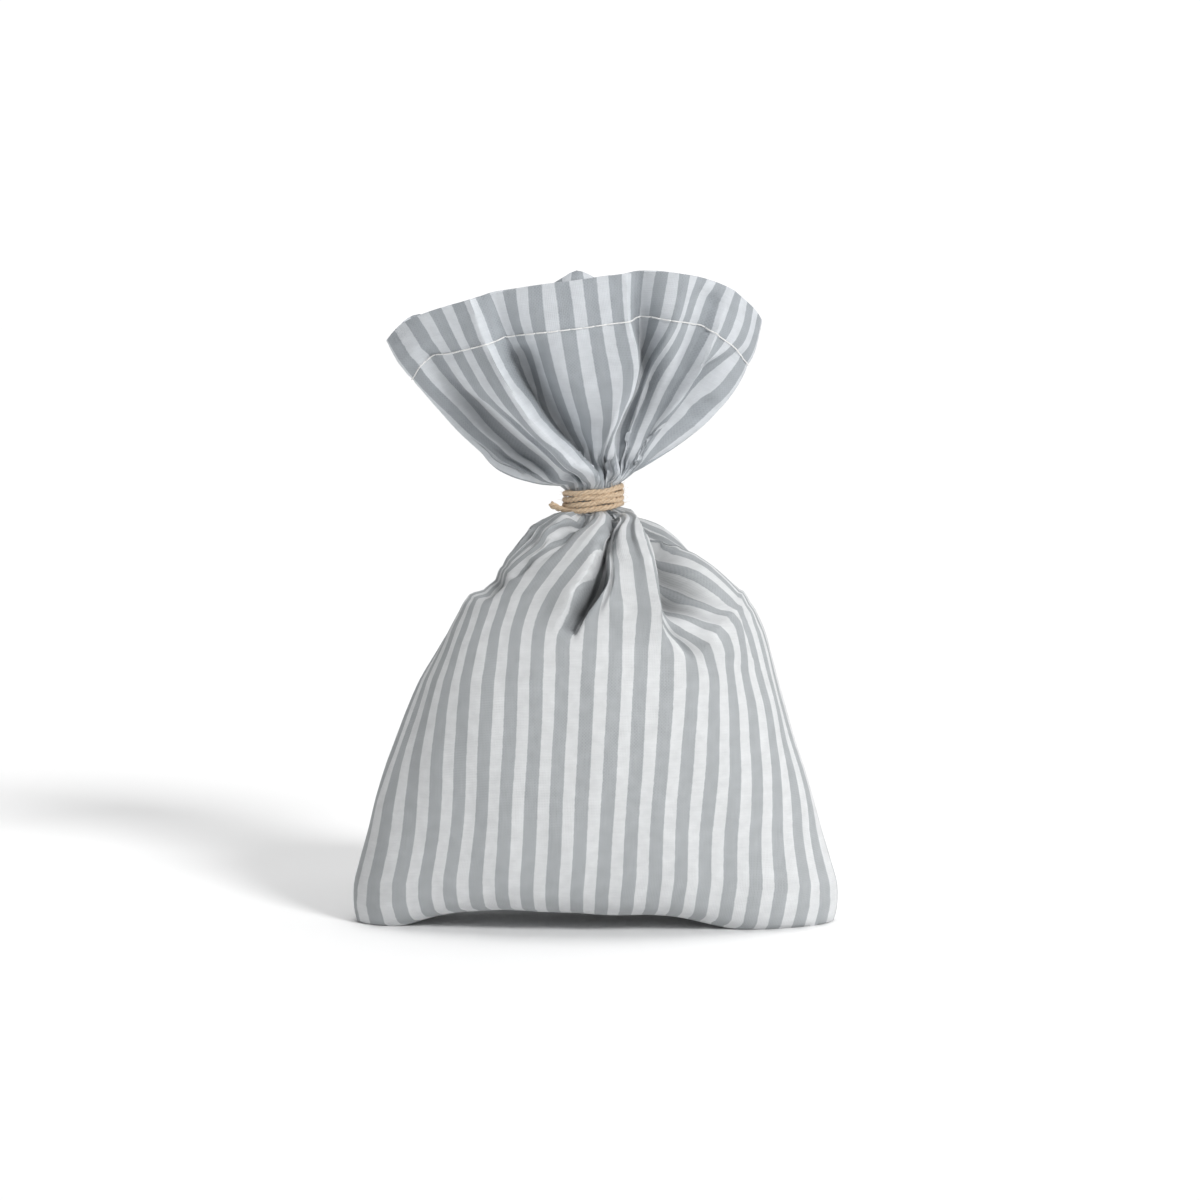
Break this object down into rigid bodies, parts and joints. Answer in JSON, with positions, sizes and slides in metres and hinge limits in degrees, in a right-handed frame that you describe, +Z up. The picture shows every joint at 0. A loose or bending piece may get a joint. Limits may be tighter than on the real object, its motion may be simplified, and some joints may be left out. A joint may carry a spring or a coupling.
{
  "type": "pouch",
  "caption": "Filled striped cotton pouch, gathered and tied at the neck with jute twine, its hemmed mouth flared open above the tie.",
  "frame": {"origin": "middle of the pouch on the surface that it stands on", "axes": "+Z up through the tie to the mouth, +X to the right as seen from the front, the front faces -Y"},
  "size_m": [0.1148, 0.0536, 0.1547],
  "materials": {
    "cotton": "plain-woven cotton with even grey and white stripes, matt",
    "jute": "natural twisted jute twine, matt and hairy"
  },
  "bodies": {
    "root": {"pouch": "cotton", "twine": "jute"}
  },
  "joints": []
}
